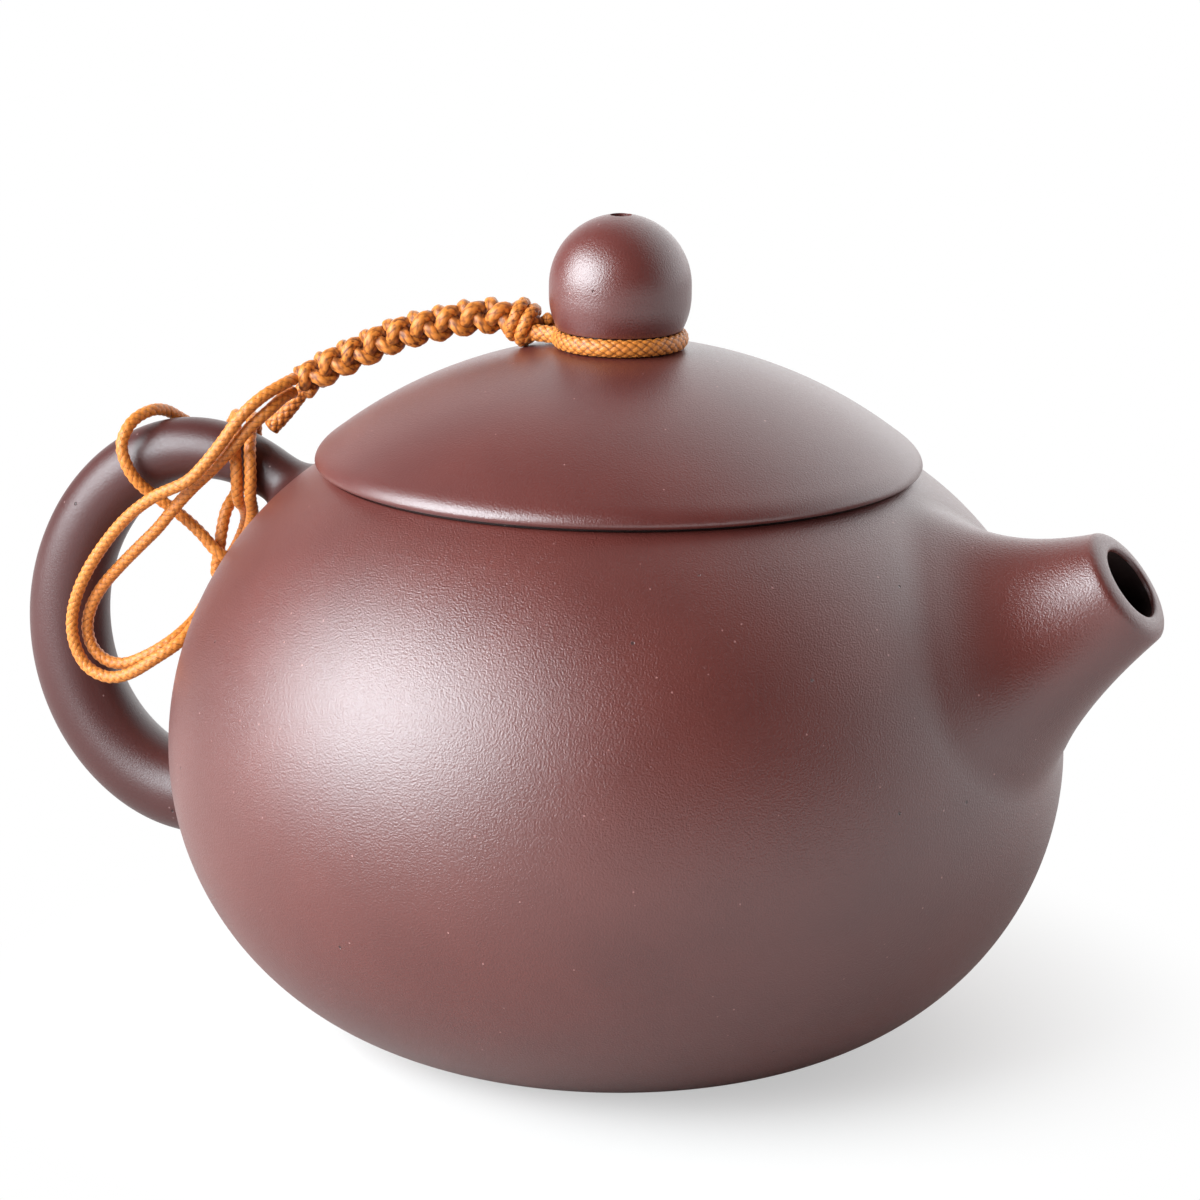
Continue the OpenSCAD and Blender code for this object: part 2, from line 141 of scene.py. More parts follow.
world = bpy.data.worlds.new("room")
scene.world = world
world.use_nodes = True
nodes, links = world.node_tree.nodes, world.node_tree.links
nodes.clear()
out = nodes.new("ShaderNodeOutputWorld")
room = nodes.new("ShaderNodeBackground")
room.inputs["Color"].default_value = (1, 1, 1, 1)
where = nodes.new("ShaderNodeTexCoord")
depth = nodes.new("ShaderNodeVectorMath")
depth.operation = "DOT_PRODUCT"
bright_side, room_dim, room_bright = 0.8 * away + 0.6 * sideways, 0.02, 2.15
depth.inputs[1].default_value = bright_side
fade = nodes.new("ShaderNodeMapRange")
set_range(fade, 0.1, 0.9, room_dim, room_bright)
ray = nodes.new("ShaderNodeLightPath")
plain = nodes.new("ShaderNodeMix")
links.new(where.outputs["Generated"], depth.inputs[0])
links.new(depth.outputs["Value"], fade.inputs["Value"])
links.new(ray.outputs["Is Camera Ray"], plain.inputs["Factor"])
links.new(fade.outputs[0], plain.inputs["A"])
plain.inputs["B"].default_value = 1
links.new(plain.outputs["Result"], room.inputs["Strength"])
links.new(room.outputs[0], out.inputs["Surface"])

# The pot wall, its base disc, the ring in its mouth and the pierced ball behind the spout: fine
# purple clay, beaten and burnished, fired without glaze, so the sand in it shows as soft grain.


# Unglazed clay: a cloudy tone, pale grains of sand, small dark pits and a fine grain of the skin.
def clay(name, light, dark, roughness, sheen, relief):
    material, nodes, links = new_material(name)
    out = nodes.new("ShaderNodeOutputMaterial")
    body = nodes.new("ShaderNodeBsdfPrincipled")
    where = nodes.new("ShaderNodeTexCoord")

    def noise(scale, detail):
        texture = nodes.new("ShaderNodeTexNoise")
        texture.inputs["Scale"].default_value, texture.inputs["Detail"].default_value = scale, detail
        links.new(where.outputs["Object"], texture.inputs["Vector"])
        return texture.outputs["Fac"]

    def spread(value, low, high, to_low, to_high):
        ramp = nodes.new("ShaderNodeMapRange")
        set_range(ramp, low, high, to_low, to_high)
        links.new(value, ramp.inputs["Value"])
        return ramp.outputs[0]

    def mixed(factor, first, second):
        mix = nodes.new("ShaderNodeMix")
        mix.data_type = "RGBA"
        links.new(factor, mix.inputs["Factor"])
        for socket, colour in (("A", first), ("B", second)):
            if isinstance(colour, tuple):
                mix.inputs[socket].default_value = (*colour, 1)
            else:
                links.new(colour, mix.inputs[socket])
        return mix.outputs["Result"]

    def dots(scale, radius, share):
        cells = nodes.new("ShaderNodeTexVoronoi")
        cells.inputs["Scale"].default_value = scale
        links.new(where.outputs["Object"], cells.inputs["Vector"])
        split = nodes.new("ShaderNodeSeparateColor")
        links.new(cells.outputs["Color"], split.inputs[0])
        both = nodes.new("ShaderNodeMath")
        both.operation = "MULTIPLY"
        links.new(spread(cells.outputs["Distance"], radius, 0.6 * radius, 0, 1), both.inputs[0])
        links.new(spread(split.outputs[0], share, 0.9 * share, 0, 1), both.inputs[1])
        return both.outputs[0]

    tone = mixed(spread(noise(scale=60, detail=4), 0.3, 0.7, 0, 1), dark, light)
    sand = dots(scale=700, radius=0.085, share=0.26)
    pit = dots(scale=260, radius=0.05, share=0.22)
    tone = mixed(sand, tone, tuple(1.8 * part + 0.12 for part in light))
    tone = mixed(pit, tone, tuple(0.5 * part for part in dark))
    links.new(tone, body.inputs["Base Color"])
    body.inputs["IOR"].default_value, body.inputs["Specular IOR Level"].default_value = 1.7, sheen
    body.inputs["Specular Tint"].default_value = (0.88, 0.94, 0.97, 1)
    grain = noise(scale=5200, detail=4)
    links.new(spread(grain, 0.3, 0.7, roughness - 0.05, roughness + 0.05), body.inputs["Roughness"])
    skin = nodes.new("ShaderNodeBump")
    skin.inputs["Strength"].default_value, skin.inputs["Distance"].default_value = 0.6, relief
    links.new(grain, skin.inputs["Height"])
    dint = nodes.new("ShaderNodeBump")
    dint.invert = True
    dint.inputs["Strength"].default_value, dint.inputs["Distance"].default_value = 1, 0.0001
    links.new(pit, dint.inputs["Height"])
    links.new(skin.outputs["Normal"], dint.inputs["Normal"])
    links.new(dint.outputs["Normal"], body.inputs["Normal"])
    links.new(body.outputs[0], out.inputs["Surface"])
    return material


def dress(node, material):
    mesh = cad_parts[node].data
    mesh.materials.clear()
    mesh.materials.append(material)


purple_clay = clay("purple_clay", light=(0.146, 0.031, 0.024), dark=(0.114, 0.022, 0.017),
                   roughness=0.345, sheen=0.71, relief=0.00012)
for node in ("base_disc", "mouth_ring", "strainer"):
    dress(node, purple_clay)
belly_r, belly_z, foot_r, mouth_r, mouth_z = 0.046, 0.0295, 0.024, 0.030, 0.0585
wall, ring_h, disc_r = 0.003, 0.003, 0.021
spout_root_z, spout_rise, hole_r, hole_margin = 0.0436, math.radians(36.5), 0.008, 0.0005
wall_sides, lower_rows, shoulder_rows = 192, 48, 36


# The wall's outline is two arcs that meet upright at the widest point.
def arc_round(inward, height):
    return round((inward * inward + height * height) / (2 * inward), 6)


shoulder_round = arc_round(belly_r - mouth_r, mouth_z - belly_z)
lower_round = arc_round(belly_r - foot_r, belly_z)
shoulder_in, lower_in = belly_r - shoulder_round, belly_r - lower_round


def arc_at(z):
    return (shoulder_round, shoulder_in) if z > belly_z else (lower_round, lower_in)


def belly_at(z):
    bend, inner = arc_at(z)
    return inner + math.sqrt(bend * bend - (z - belly_z) ** 2)


def wall_arc(bend, inner, low, high, steps):
    first, last = math.asin((low - belly_z) / bend), math.asin((high - belly_z) / bend)
    turns = [first + (last - first) * i / steps for i in range(steps + 1)]
    return [Vector((inner + bend * math.cos(a), 0, belly_z + bend * math.sin(a))) for a in turns]


# A closed profile, spun round the pot's axis. Edges that bend more than the crease stay sharp.
def turned(profile, steps, crease):
    bm = bmesh.new()
    verts = [bm.verts.new(point) for point in profile]
    edges = [bm.edges.new(pair) for pair in zip(verts, verts[1:] + verts[:1])]
    bmesh.ops.spin(bm, geom=edges, cent=(0, 0, 0), axis=(0, 0, 1), angle=2 * math.pi, steps=steps,
                   use_merge=True)
    for edge in bm.edges:
        edge.smooth = not edge.is_manifold or edge.calc_face_angle(0) < math.radians(crease)
    return bm


def sharp_rims(bm):
    rims = [edge for edge in bm.edges if edge.is_boundary]
    for edge in rims:
        edge.smooth = False
    return rims


def smooth_piece(name, bm, material):
    bmesh.ops.recalc_face_normals(bm, faces=bm.faces)
    for face in bm.faces:
        face.smooth = True
    piece = link_mesh(name, bm)
    piece.data.materials.append(material)
    return piece


spout_foot = Vector((belly_at(spout_root_z), 0, spout_root_z))
spout_axis = Vector((math.cos(spout_rise), 0, math.sin(spout_rise)))


def off_axis(point):
    return point - spout_foot - (point - spout_foot).dot(spout_axis) * spout_axis


ring_z = mouth_z - ring_h
disc_z = belly_z - math.sqrt((lower_round - wall) ** 2 - (disc_r - lower_in) ** 2)
profile = wall_arc(lower_round, lower_in, 0, belly_z, lower_rows)[:-1]
profile += wall_arc(shoulder_round, shoulder_in, belly_z, ring_z, shoulder_rows)
profile += wall_arc(shoulder_round - wall, shoulder_in, ring_z, belly_z, shoulder_rows)[:-1]
profile += wall_arc(lower_round - wall, lower_in, belly_z, disc_z, lower_rows) + [Vector((disc_r, 0, 0))]
bm = turned(profile, wall_sides, crease=10)
cut = [face for face in bm.faces if face.calc_center_median().x > 0
       and off_axis(face.calc_center_median()).length < hole_r + hole_margin]
bmesh.ops.delete(bm, geom=cut, context="FACES")
rims = sharp_rims(bm)
for vert in {vert for edge in rims for vert in edge.verts}:
    vert.co += (hole_r / off_axis(vert.co).length - 1) * off_axis(vert.co)
bmesh.ops.bridge_loops(bm, edges=rims)
pot_wall = smooth_piece("pot_wall_turned", bm, purple_clay)
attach(pot_wall, "pot")
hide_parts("pot_wall")

# The spout: rolled from a cone of clay, luted over the hole in the belly and smoothed into it with
# a wet finger, so its root has no edge. The lip is rounded, and the bore opens to the strainer.


def belly_out(point):
    inner = arc_at(point.z)[1]
    flat = Vector((point.x, point.y, 0)).normalized()
    return (point - inner * flat - belly_z * up).normalized()


def onto_belly(point, sink):
    bend, inner = arc_at(point.z)
    flat = Vector((point.x, point.y, 0)).normalized()
    return inner * flat + belly_z * up + (bend - sink) * belly_out(point)


def bezier(points, share):
    points = [Vector(point) for point in points]
    while len(points) > 1:
        points = [first.lerp(second, share) for first, second in zip(points, points[1:])]
    return points[0]


# A tube that is drawn out from one ring of points to the next.
def loft(bm, rings):
    row = bmesh.ops.create_circle(bm, segments=len(rings[0]), radius=1)["verts"]
    edges = list(dict.fromkeys(edge for vert in row for edge in vert.link_edges))
    rows = []
    for ring in rings:
        if rows:
            drawn = bmesh.ops.extrude_edge_only(bm, edges=edges)["geom"]
            fresh = {vert for vert in drawn if isinstance(vert, bmesh.types.BMVert)}
            row = [next(edge.other_vert(vert) for edge in vert.link_edges
                        if edge.other_vert(vert) in fresh) for vert in rows[-1]]
            edges = [edge for edge in drawn if isinstance(edge, bmesh.types.BMEdge)
                     and fresh.issuperset(edge.verts)]
        for vert, point in zip(row, ring):
            vert.co = point
        rows.append(row)
    return rows


spout_length, spout_tip_r, spout_bore_r = 0.0127, 0.0061, 0.00375
root_height, root_width = 0.0302, 0.0410
root_flare, tip_taper, side_taper = math.radians(0.5), math.radians(22), math.radians(8)
root_pull, tip_pull, root_sink = (0.67, 0.07, 0.04), (0.22, 0.2, 0.35), 0.00001
bore_floor, cone_end, edge_run, edge_step = 0.0087, -0.0018, 0.0002, 0.00004
spout_sides, skin_rows, eased_rows, outer_rows, inner_rows, cone_rows = 64, 40, 8, 7, 4, 6


def spout_radial(turn):
    return Vector((-math.sin(spout_rise) * math.cos(turn), math.sin(turn),
                   math.cos(spout_rise) * math.cos(turn)))


# How far the skin runs straight on from each end: evenly, and more on the upper side and the flanks.
def pull(shares, turn):
    even, upper, flank = shares
    return spout_length * (even + upper * math.cos(turn) + flank * math.sin(turn) ** 2)


def spout_line(turn):
    z = spout_root_z + root_height / 2 * math.cos(turn)
    swing = root_width / 2 * math.sin(turn) / spout_foot.x
    root = onto_belly(Vector((belly_at(z) * math.cos(swing), belly_at(z) * math.sin(swing), z)), root_sink)
    out = belly_out(root)
    inward = spout_foot - root
    inward = (inward - inward.dot(out) * out).normalized()
    tip = spout_foot + spout_length * spout_axis + spout_tip_r * spout_radial(turn)
    leave = math.cos(root_flare) * inward + math.sin(root_flare) * out
    taper = tip_taper + (side_taper - tip_taper) * math.sin(turn) ** 2
    arrive = math.cos(taper) * spout_axis - math.sin(taper) * spout_radial(turn)
    return [root, root + pull(root_pull, turn) * leave, tip - pull(tip_pull, turn) * arrive, tip]


# Near its root the skin leaves the belly slowly, so that no edge shows there.
def eased(point, share):
    share = min(share, 1)
    return onto_belly(point, root_sink).lerp(point, share * share * (3 - 2 * share))


turns = [2 * math.pi * k / spout_sides for k in range(spout_sides)]
lines = [spout_line(turn) for turn in turns]
rings = [[eased(bezier(line, i / skin_rows), i / eased_rows) for line in lines]
         for i in range(skin_rows + 1)]
lip_top = (0.00109, 0.00424)
outer_lip = [(0, spout_tip_r), (0.00051, 0.00605), (0.00096, 0.00568), (0.00108, 0.00472), lip_top]
inner_lip = [lip_top, (0.00108, 0.00389), (0.00101, spout_bore_r), (0.0006, spout_bore_r)]
lip = [bezier(outer_lip, i / outer_rows) for i in range(1, outer_rows + 1)]
lip += [bezier(inner_lip, i / inner_rows) for i in range(1, inner_rows + 1)]
bore = [(bore_floor + edge_run, spout_bore_r), (bore_floor, spout_bore_r + edge_step)]
bore += [(bore_floor + (cone_end - bore_floor) * i / cone_rows,
          spout_bore_r + (hole_r - spout_bore_r) * i / cone_rows) for i in range(1, cone_rows + 1)]
for rise, radius in [(spout_length + rise, radius) for rise, radius in lip] + bore:
    rings.append([spout_foot + rise * spout_axis + radius * spout_radial(turn) for turn in turns])
bm = bmesh.new()
# The faces inside the bore take the near-black clay, as painted shade in the spout's dark inside.
bored = {vert for row in loft(bm, rings)[skin_rows + len(lip):] for vert in row}
for face in bm.faces:
    face.material_index = 1 if bored.issuperset(face.verts) else 0
bmesh.ops.bridge_loops(bm, edges=sharp_rims(bm))
spout = smooth_piece("spout_drawn", bm, purple_clay)
# A near-black copy of the clay, as painted shade for the inside of the spout's bore and the seam under the
# lid's rim.
painted_shade_clay = clay("painted_shade_clay", light=(0.030, 0.012, 0.010), dark=(0.022, 0.009, 0.008),
                  roughness=0.6, sheen=0.2, relief=0.00003)
spout.data.materials.append(painted_shade_clay)
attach(spout, "pot")
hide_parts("spout")

# The handle: a roll of clay bent to an ear, thickest at its back, luted to the shoulder and to the
# lower belly. The slip at both roots is wiped round, which leaves a small hollow fillet.
handle_reach, handle_top_z, handle_foot_z = 0.0184, 0.05, 0.0195
handle_shoulder, handle_heel, handle_back_z = 0.016, 0.0083, 0.0396
handle_in, handle_out, handle_back = (-belly_r - share * handle_reach for share in (1 / 3, 3 / 4, 7 / 4))
handle_curve = [(2 * wall - belly_at(handle_top_z), 0, handle_top_z),
                (handle_in, 0, handle_top_z + handle_shoulder),
                (handle_out, 0, handle_top_z + handle_shoulder / 10), (handle_back, 0, handle_back_z),
                (handle_out, 0, handle_foot_z - handle_heel),
                (wall / 2 - belly_at(handle_foot_z), 0, handle_foot_z)]
handle_radii = [(0.0024, 0, 0), (0.005, 0, 0), (0.0044, 0, 0)]
handle_sides, handle_steps, handle_nudge = 40, 150, 0.002
belly_foot, belly_top = 0.001, 0.0584
top_fillet, foot_fillet, fillet_sink, fillet_rows = 0.0022, 0.0018, 0.00003, 12
fillet_run, most_of_root, root_reach, halvings = 1.2, 0.85, 0.02, 40


def handle_ring(share):
    centre = bezier(handle_curve, share)
    along = bezier(handle_curve, share + handle_nudge) - bezier(handle_curve, share - handle_nudge)
    along.normalize()
    side = Vector((0, 1, 0))
    reach = bezier(handle_radii, share).x
    return [centre + reach * (math.cos(a) * side + math.sin(a) * along.cross(side))
            for a in [2 * math.pi * k / handle_sides for k in range(handle_sides)]], along


def outside_belly(point):
    return math.hypot(point.x, point.y) - belly_at(min(max(point.z, belly_foot), belly_top))


# Rings from the end of the free handle to the belly. Each line finds the belly by halving the distance,
# and its corner there is rounded to a fillet.
def luted(share, sign, fillet):
    ring, along = handle_ring(share)
    heel = sum(ring, Vector()) / len(ring)
    lines = []
    for point in ring:
        near, far = 0.0, root_reach
        for _ in range(halvings):
            half = (near + far) / 2
            near, far = (near, half) if outside_belly(point + sign * half * along) < 0 else (half, far)
        corner = point + sign * near * along
        out = belly_out(corner)
        foot = heel + sign * near * along
        splay = corner - foot
        splay = (splay - splay.dot(out) * out).normalized()
        run = min(most_of_root * near, fillet_run * fillet)
        lines.append([corner - run * sign * along, corner,
                      onto_belly(corner + fillet * splay, fillet_sink)])
    return [[bezier(line, i / fillet_rows) for line in lines] for i in range(fillet_rows + 1)]


def clear_of_belly(share):
    return min(outside_belly(point) for point in handle_ring(share)[0])


shares = [i / handle_steps for i in range(1, handle_steps)]
first = next(share for share in shares if clear_of_belly(share) > top_fillet)
last = next(share for share in reversed(shares) if clear_of_belly(share) > foot_fillet)
rings = luted(first, -1, top_fillet)[::-1]
rings += [handle_ring(share)[0] for share in shares if first <= share <= last]
rings += luted(last, 1, foot_fillet)
bm = bmesh.new()
loft(bm, rings)
bmesh.ops.holes_fill(bm, edges=sharp_rims(bm))
# The handle takes a darker, duller copy of the pot's clay, as painted shade: it stands in less of the
# window's light.
handle_clay_painted_shade = clay("handle_clay_painted_shade", light=(0.076, 0.018, 0.016), dark=(0.060, 0.014, 0.012),
                   roughness=0.41, sheen=0.41, relief=0.00004)
handle = smooth_piece("handle_drawn", bm, handle_clay_painted_shade)
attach(handle, "pot")
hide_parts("handle")

# The lid, with the flange that centres it in the mouth and the ball knob with its vent: thrown from
# the same clay and burnished a little smoother than the pot, as the part that is handled most.
lid_clay = clay("lid_clay", light=(0.142, 0.031, 0.025), dark=(0.110, 0.022, 0.018),
                roughness=0.35, sheen=0.70, relief=0.00007)
for node in ("lid_flange", "knob"):
    dress(node, lid_clay)
dome_z, dome_round, dome_inner, vent_r = 0.0232, 0.048, 0.045, 0.0011
flange_bore, rim_r, groove_r, groove_z = 0.0242, 0.0288, 0.0296, 0.0588
groove_lift, groove_lap = 0.00001, 0.0002
lid_sides, dome_rows, rim_rows, under_rows, hollow_rows = 160, 40, 14, 8, 24


def dome_at(radius, bend):
    return Vector((radius, 0, dome_z + math.sqrt(bend * bend - radius * radius)))


rim = [dome_at(rim_r, dome_round), (0.0297, 0, 0.06093), (0.0306, 0, 0.06035), (0.03082, 0, 0.05945)]
under = [(0.03082, 0, 0.05945), (0.0309, 0, 0.05907), (0.0306, 0, 0.05882), (0.0301, 0, groove_z)]
profile = [dome_at(vent_r + (rim_r - vent_r) * i / dome_rows, dome_round) for i in range(dome_rows)]
profile += [bezier(rim, i / rim_rows) for i in range(rim_rows)]
profile += [bezier(under, i / under_rows) for i in range(under_rows + 1)]
profile += [Vector((groove_r, 0, groove_z)), Vector((groove_r, 0, mouth_z))]
profile += [Vector((flange_bore, 0, mouth_z))]
profile += [dome_at(flange_bore + (vent_r - flange_bore) * i / hollow_rows, dome_inner)
            for i in range(hollow_rows + 1)]
bm = turned(profile, lid_sides, crease=30)
# The underside of the lid's rim and the groove below it take the near-black clay, as painted shade in the
# seam between lid and pot.
for face in bm.faces:
    centre = face.calc_center_median()
    outside = math.hypot(centre.x, centre.y) > groove_r - groove_lap
    face.material_index = 1 if outside and centre.z < groove_z + groove_lift else 0
lid_dome = smooth_piece("lid_dome_turned", bm, lid_clay)
lid_dome.data.materials.append(painted_shade_clay)
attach(lid_dome, "lid")
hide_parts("lid_dome")

# The tether's loop round the knob's neck: a round braid of dyed orange thread, 1.6 mm thick. Its two
# ends run into the chain of knots.
cord_orange, nodes, links = new_material("cord_orange")
out = nodes.new("ShaderNodeOutputMaterial")
thread = nodes.new("ShaderNodeBsdfPrincipled")
thread.inputs["Roughness"].default_value = 0.42
thread.inputs["Sheen Weight"].default_value = 0.15
thread.inputs["Sheen Roughness"].default_value = 0.4
thread.inputs["Sheen Tint"].default_value = (1, 0.72, 0.42, 1)
relief = nodes.new("ShaderNodeAttribute")
relief.attribute_name = "relief"
laid = nodes.new("ShaderNodeAttribute")
laid.attribute_name = "straight"
stretch = nodes.new("ShaderNodeMapping")
stretch.inputs["Scale"].default_value = (1, 1, 0.25)
fibre = nodes.new("ShaderNodeTexNoise")
fibre.inputs["Scale"].default_value, fibre.inputs["Detail"].default_value = 9000, 3
faded = nodes.new("ShaderNodeTexNoise")
faded.inputs["Scale"].default_value, faded.inputs["Detail"].default_value = 400, 2
links.new(laid.outputs["Vector"], stretch.inputs["Vector"])
links.new(stretch.outputs[0], fibre.inputs["Vector"])
links.new(laid.outputs["Vector"], faded.inputs["Vector"])
shade = nodes.new("ShaderNodeMix")
shade.data_type = "RGBA"
shade.inputs["A"].default_value = (0.58, 0.165, 0.024, 1)
shade.inputs["B"].default_value = (0.82, 0.29, 0.046, 1)
links.new(faded.outputs["Fac"], shade.inputs["Factor"])
# Painted shade: the thread turns near-black where its relief is low, in the hollows of the braid and where
# a strand runs under the others.
shade_share = nodes.new("ShaderNodeMapRange")
set_range(shade_share, 0.02, 0.55, 0, 1)
links.new(relief.outputs["Fac"], shade_share.inputs["Value"])
painted_shade_colour = nodes.new("ShaderNodeMix")
painted_shade_colour.data_type = "RGBA"
painted_shade_colour.inputs["A"].default_value = (0.10, 0.017, 0.003, 1)
links.new(shade_share.outputs[0], painted_shade_colour.inputs["Factor"])
links.new(shade.outputs["Result"], painted_shade_colour.inputs["B"])
links.new(painted_shade_colour.outputs["Result"], thread.inputs["Base Color"])
nap = nodes.new("ShaderNodeBump")
nap.inputs["Strength"].default_value, nap.inputs["Distance"].default_value = 0.7, 0.00008
links.new(fibre.outputs["Fac"], nap.inputs["Height"])
links.new(nap.outputs["Normal"], thread.inputs["Normal"])
links.new(thread.outputs[0], out.inputs["Surface"])
tie_d, thread_step, span_steps, blunt_end = 0.0016, 0.00012, 24, 0.02


# Points at even steps along a fine line.
def evened(fine, step):
    runs = [0.0]
    for a, b in zip(fine, fine[1:]):
        runs.append(runs[-1] + (b - a).length)
    count = max(2, round(runs[-1] / step))
    line, i = [], 0
    for k in range(count + 1):
        goal = runs[-1] * k / count
        while i < len(fine) - 2 and runs[i + 1] < goal:
            i += 1
        line.append(fine[i].lerp(fine[i + 1], (goal - runs[i]) / (runs[i + 1] - runs[i])))
    return line


# A smooth curve through the points of a route.
def smooth_line(route, step):
    route = [Vector(point) for point in route]
    fine = []
    for i, (q, r) in enumerate(zip(route, route[1:])):
        p, s = route[max(i - 1, 0)], route[min(i + 2, len(route) - 1)]
        for t in [k / span_steps for k in range(span_steps)]:
            fine.append(0.5 * (2 * q + (r - p) * t + (2 * p - 5 * q + 4 * r - s) * t ** 2
                               + (3 * q - p - 3 * r + s) * t ** 3))
    fine.append(route[-1])
    return evened(fine, step)


def line_length(line):
    return sum((b - a).length for a, b in zip(line, line[1:]))


# The directions along, across and beside a line, carried on without twist.
def line_frames(line, side):
    frames = []
    for i in range(len(line)):
        along = (line[min(i + 1, len(line) - 1)] - line[max(i - 1, 0)]).normalized()
        side = (side - side.dot(along) * along).normalized()
        frames.append((along, side, along.cross(side)))
    return frames


# Height of the thread that lies on top, over a plain weave of two sets of carriers.
def weave(turns, run):
    first, second = turns + run, turns - run
    i, j = math.floor(first), math.floor(second)
    a, b = first - i - 0.5, second - j - 0.5
    if (i + j) % 2:
        a, b = b, a
    return math.cos(math.pi * a) * (1 - 4 * b * b) ** 0.4


# A tube along a line, with the crossing carriers of a braid standing out of it. The attributes hold
# the place on the straight cord and the height of the thread, low where it lies under others; the
# material paints the low places dark, as painted shade.
def braid(bm, line, side, radius, carriers, pitch, height, sides, squeeze=1, taper=0, least=0, over=None):
    straight = bm.verts.layers.float_vector.get("straight") or bm.verts.layers.float_vector.new("straight")
    relief = bm.verts.layers.float.get("relief") or bm.verts.layers.float.new("relief")
    step = line_length(line) / (len(line) - 1)
    rings, marks = [], []
    for i, (point, (along, across, beside)) in enumerate(zip(line, line_frames(line, Vector(side)))):
        rings.append([])
        marks.append([])
        end = min(i, len(line) - 1 - i) * step
        closing = 1 - min(end / taper, 1) if taper else 0
        width = radius * math.sqrt(max(1 - closing ** 2, blunt_end))
        for k in range(sides):
            a = 2 * math.pi * k / sides
            bulge = weave(carriers * k / sides, i * step / pitch)
            reach = width * (1 - height + height * bulge)
            rings[-1].append(point + reach * (squeeze * math.cos(a) * across + math.sin(a) * beside))
            thread_shade = (least + (1 - least) * bulge) * (over[i] if over else 1)
            marks[-1].append((Vector((radius * math.cos(a), radius * math.sin(a), i * step)), thread_shade))
    for row, mark in zip(loft(bm, rings), marks):
        for vert, (laid, thread_shade) in zip(row, mark):
            vert[straight], vert[relief] = laid, thread_shade
    bmesh.ops.holes_fill(bm, edges=[edge for edge in bm.edges if edge.is_boundary])


neck_r, cord_gap, loop_open, loop_steps = 0.0053, 0.0002, math.radians(17), 26
loop_r = neck_r + cord_gap + tie_d / 2
loop_z = round(dome_at(loop_r, dome_round + cord_gap + tie_d / 2).z, 5)
loop_ends = [(-0.0075, 0.0013), (-0.009, 0.0011)]
loop_turn = [math.pi - loop_open - (2 * math.pi - 2 * loop_open) * i / loop_steps
             for i in range(loop_steps + 1)]
loop_route = ([(x, y, loop_z) for x, y in reversed(loop_ends)]
              + [(loop_r * math.cos(a), loop_r * math.sin(a), loop_z) for a in loop_turn]
              + [(x, -y, loop_z) for x, y in loop_ends])
loop_line = smooth_line(loop_route, thread_step)
bm = bmesh.new()
braid(bm, loop_line, side=(0, 0, 1), radius=0.00067, carriers=6, pitch=0.001, height=0.16, sides=48,
      squeeze=1.36)
neck_loop = smooth_piece("neck_loop_braid", bm, cord_orange)
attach(neck_loop, "tether")
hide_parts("neck_loop")

# The chain of snake knots, tied in the same orange cord from the ends of the loop. Its strands cross
# over each other, so bumps stand in four rows, and each row is half a knot ahead of the next. At its
# upper end the cord is wound about twice round it as a thick knot.
chain_route = [(-0.0097, 0, 0.0721), (-0.0118, 0, 0.0729), (-0.015, 0, 0.0729), (-0.019, 0, 0.072),
               (-0.0245, 0, 0.0703), (-0.0288, 0, 0.0682), (-0.0325, 0, 0.0663),
               (-0.0349, 0, 0.0647)]
knot_pitch, plait_r, plait_swing, plait_d = 0.0029, 0.00088, 0.0004, 0.0015
chain_line = smooth_line([(-0.009, 0, 0.0716)] + chain_route + [(-0.0357, -0.0001, 0.0642)], thread_step)
chain_frames = line_frames(chain_line, Vector((0, 0, 1)))
chain_step = line_length(chain_line) / (len(chain_line) - 1)
chain_turn = math.radians(30)
painted_shade_mid = 0.42
knot_steps, turn_steps, knot_start, knot_stretch = 260, 120, 2, 20
knot_r, knot_creep = 0.0017, 0.0000045
bm = bmesh.new()
for hand, start in ((1, 0), (1, math.pi), (-1, 0), (-1, math.pi)):
    strand, over = [], []
    for i, (point, (along, across, beside)) in enumerate(zip(chain_line, chain_frames)):
        phase = math.pi * i * chain_step / knot_pitch
        a = chain_turn + hand * phase + start
        rise = hand * math.cos(2 * phase)
        reach = plait_r + plait_swing * rise
        strand.append(point + reach * (math.cos(a) * across + math.sin(a) * beside))
        # Painted shade: the strand's thread is marked darker as it swings in under the other strands.
        over.append(max(painted_shade_mid + (1 - painted_shade_mid) * rise, 0))
    braid(bm, strand, side=(0, 0.1, 1), radius=plait_d / 2, carriers=4, pitch=0.0009, height=0.14, sides=20,
          taper=0.0004, over=over)
knot = []
for i in range(knot_steps):
    a, place = 2 * math.pi * i / turn_steps, knot_start + i // knot_stretch
    point, (along, across, beside) = chain_line[place], chain_frames[place]
    knot.append(point + knot_r * (math.cos(a) * across + math.sin(a) * beside) + knot_creep * i * along)
braid(bm, evened(knot, thread_step), side=(1, 0, 0.1), radius=0.00068, carriers=4, pitch=0.0009,
      height=0.14, sides=20, taper=0.0004)
knot_chain = smooth_piece("knot_chain_plait", bm, cord_orange)
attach(knot_chain, "tether")
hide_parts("knot_chain")

# The tail: the short end of the same braided cord, beside the last knot. It is cut off and sealed, so
# the braid closes to a rounded end.
tail_route = [(-0.0354, 0.001, 0.0641), (-0.0366, 0.0013, 0.0628), (-0.0378, 0.0011, 0.0612),
              (-0.0388, 0.0006, 0.0599), (-0.0396, 0, 0.0589)]
tail_line = smooth_line(tail_route, thread_step)
bm = bmesh.new()
braid(bm, tail_line, side=(0, 1, 0.1), radius=0.00092, carriers=6, pitch=0.0011, height=0.16, sides=48,
      taper=0.0003)
chain_tail = smooth_piece("chain_tail_braid", bm, cord_orange)
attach(chain_tail, "tether")
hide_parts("chain_tail")
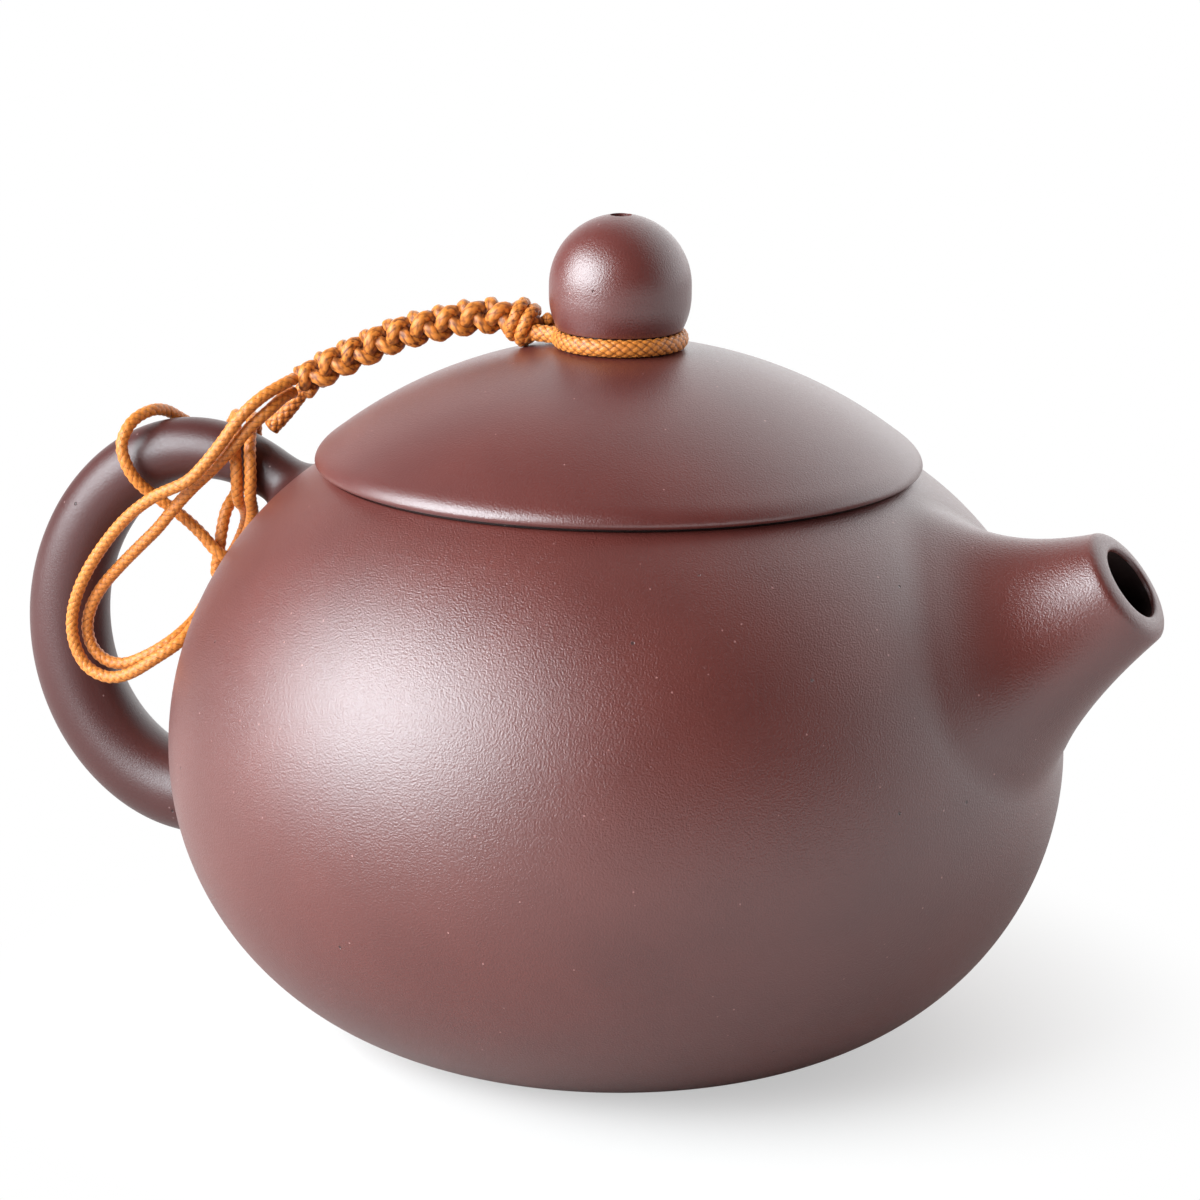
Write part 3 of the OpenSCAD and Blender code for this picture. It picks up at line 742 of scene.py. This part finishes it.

# The two thin strands, braided from the same thread: each leaves the last knot, passes in front of
# the handle and hangs as a slack loop in it.
near_drop_route = [(-0.0359, -0.0011, 0.0649), (-0.0365, -0.0028, 0.0645),
                   (-0.0381, -0.0047, 0.0633), (-0.0399, -0.0061, 0.0613),
                   (-0.0419, -0.0068, 0.0584), (-0.0438, -0.0071, 0.056), (-0.0458, -0.0073, 0.0541),
                   (-0.0495, -0.0075, 0.0522), (-0.053, -0.0075, 0.0494), (-0.0563, -0.0075, 0.0454),
                   (-0.0585, -0.0075, 0.0416), (-0.0595, -0.0075, 0.0381),
                   (-0.0592, -0.0075, 0.0352), (-0.0578, -0.0075, 0.033), (-0.0554, -0.0075, 0.0321),
                   (-0.0528, -0.0075, 0.0327), (-0.0498, -0.0072, 0.0346),
                   (-0.0475, -0.0058, 0.0364), (-0.0468, -0.0038, 0.0378),
                   (-0.0463, -0.0018, 0.0394)]
far_drop_route = [(-0.0362, -0.0006, 0.0634), (-0.0368, -0.0021, 0.063), (-0.0376, -0.0038, 0.0619),
                  (-0.0394, -0.005, 0.06), (-0.0415, -0.0054, 0.0575), (-0.0438, -0.0055, 0.0551),
                  (-0.0459, -0.0056, 0.0531), (-0.0479, -0.0058, 0.0509), (-0.0499, -0.0059, 0.0485),
                  (-0.052, -0.006, 0.0464), (-0.0544, -0.006, 0.044), (-0.0567, -0.006, 0.0414),
                  (-0.0581, -0.006, 0.0389), (-0.0585, -0.006, 0.0366), (-0.0578, -0.006, 0.0346),
                  (-0.0562, -0.0059, 0.0334), (-0.0542, -0.0058, 0.0333), (-0.0522, -0.0056, 0.0341),
                  (-0.0502, -0.005, 0.0353), (-0.0486, -0.0036, 0.0367), (-0.0477, -0.0014, 0.0382),
                  (-0.0474, 0.0009, 0.04)]


def thin_strand(name, node, route):
    line = smooth_line(route, thread_step)
    bm = bmesh.new()
    braid(bm, line, side=(0, 1, 0.1), radius=0.00067, carriers=4, pitch=0.0008, height=0.13, sides=24,
          taper=0.0003, least=0.15)
    piece = smooth_piece(name, bm, cord_orange)
    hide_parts(node)
    return piece


near_drop = thin_strand("near_drop_braid", "near_drop", near_drop_route)
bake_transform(near_drop)
far_drop = thin_strand("far_drop_braid", "far_drop", far_drop_route)
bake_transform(far_drop)

# The same two strands where they are wound round the top of the handle, from below and over it again.
# Their ends are tucked in behind the handle.
near_wrap_route = [(-0.0463, -0.0018, 0.0394), (-0.0458, 0.0002, 0.041), (-0.0444, 0.0014, 0.0442),
                   (-0.0426, 0.0008, 0.0476), (-0.0409, -0.0016, 0.0502), (-0.0402, -0.0034, 0.0522),
                   (-0.0399, -0.0039, 0.0546), (-0.0402, -0.0034, 0.057), (-0.041, -0.0016, 0.059),
                   (-0.0419, 0.0008, 0.0598), (-0.0428, 0.0032, 0.0587), (-0.0435, 0.0042, 0.0562),
                   (-0.044, 0.0037, 0.0534), (-0.0446, 0.0022, 0.0514), (-0.0451, 0.0006, 0.0496),
                   (-0.0453, -0.0002, 0.0474), (-0.0455, -0.0005, 0.0452),
                   (-0.0458, -0.0005, 0.0436)]
far_wrap_route = [(-0.0474, 0.0009, 0.04), (-0.0468, 0.0027, 0.0424), (-0.0453, 0.0036, 0.0454),
                  (-0.0439, 0.0028, 0.0482), (-0.0429, 0.0003, 0.0502), (-0.0421, -0.0023, 0.0514),
                  (-0.0416, -0.0037, 0.0532), (-0.0415, -0.004, 0.0552), (-0.0419, -0.0035, 0.0575),
                  (-0.0426, -0.002, 0.0592), (-0.0436, 0.0002, 0.06), (-0.0449, 0.0025, 0.0593),
                  (-0.0465, 0.004, 0.0578), (-0.0484, 0.0046, 0.057), (-0.0503, 0.0044, 0.0573),
                  (-0.0518, 0.0032, 0.0585), (-0.0525, 0.0013, 0.0596), (-0.053, -0.0008, 0.06),
                  (-0.0538, -0.0028, 0.0595), (-0.0543, -0.0042, 0.0584), (-0.0545, -0.005, 0.0567),
                  (-0.0538, -0.0051, 0.0546), (-0.0528, -0.0046, 0.0529), (-0.0516, -0.0038, 0.0516),
                  (-0.0499, -0.003, 0.0502), (-0.048, -0.0025, 0.0487), (-0.0465, -0.0021, 0.0472),
                  (-0.0457, -0.0019, 0.0462)]
near_tuck = [(-0.04575, -0.00055, 0.0424)]
far_tuck = [(-0.0449, -0.0018, 0.0455), (-0.0442, -0.0012, 0.0449), (-0.0439, -0.0002, 0.0446)]
near_wrap = thin_strand("near_wrap_braid", "near_wrap", near_wrap_route + near_tuck)
far_wrap = thin_strand("far_wrap_braid", "far_wrap", far_wrap_route + far_tuck)
for piece in (near_wrap, far_wrap):
    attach(piece, "pot")
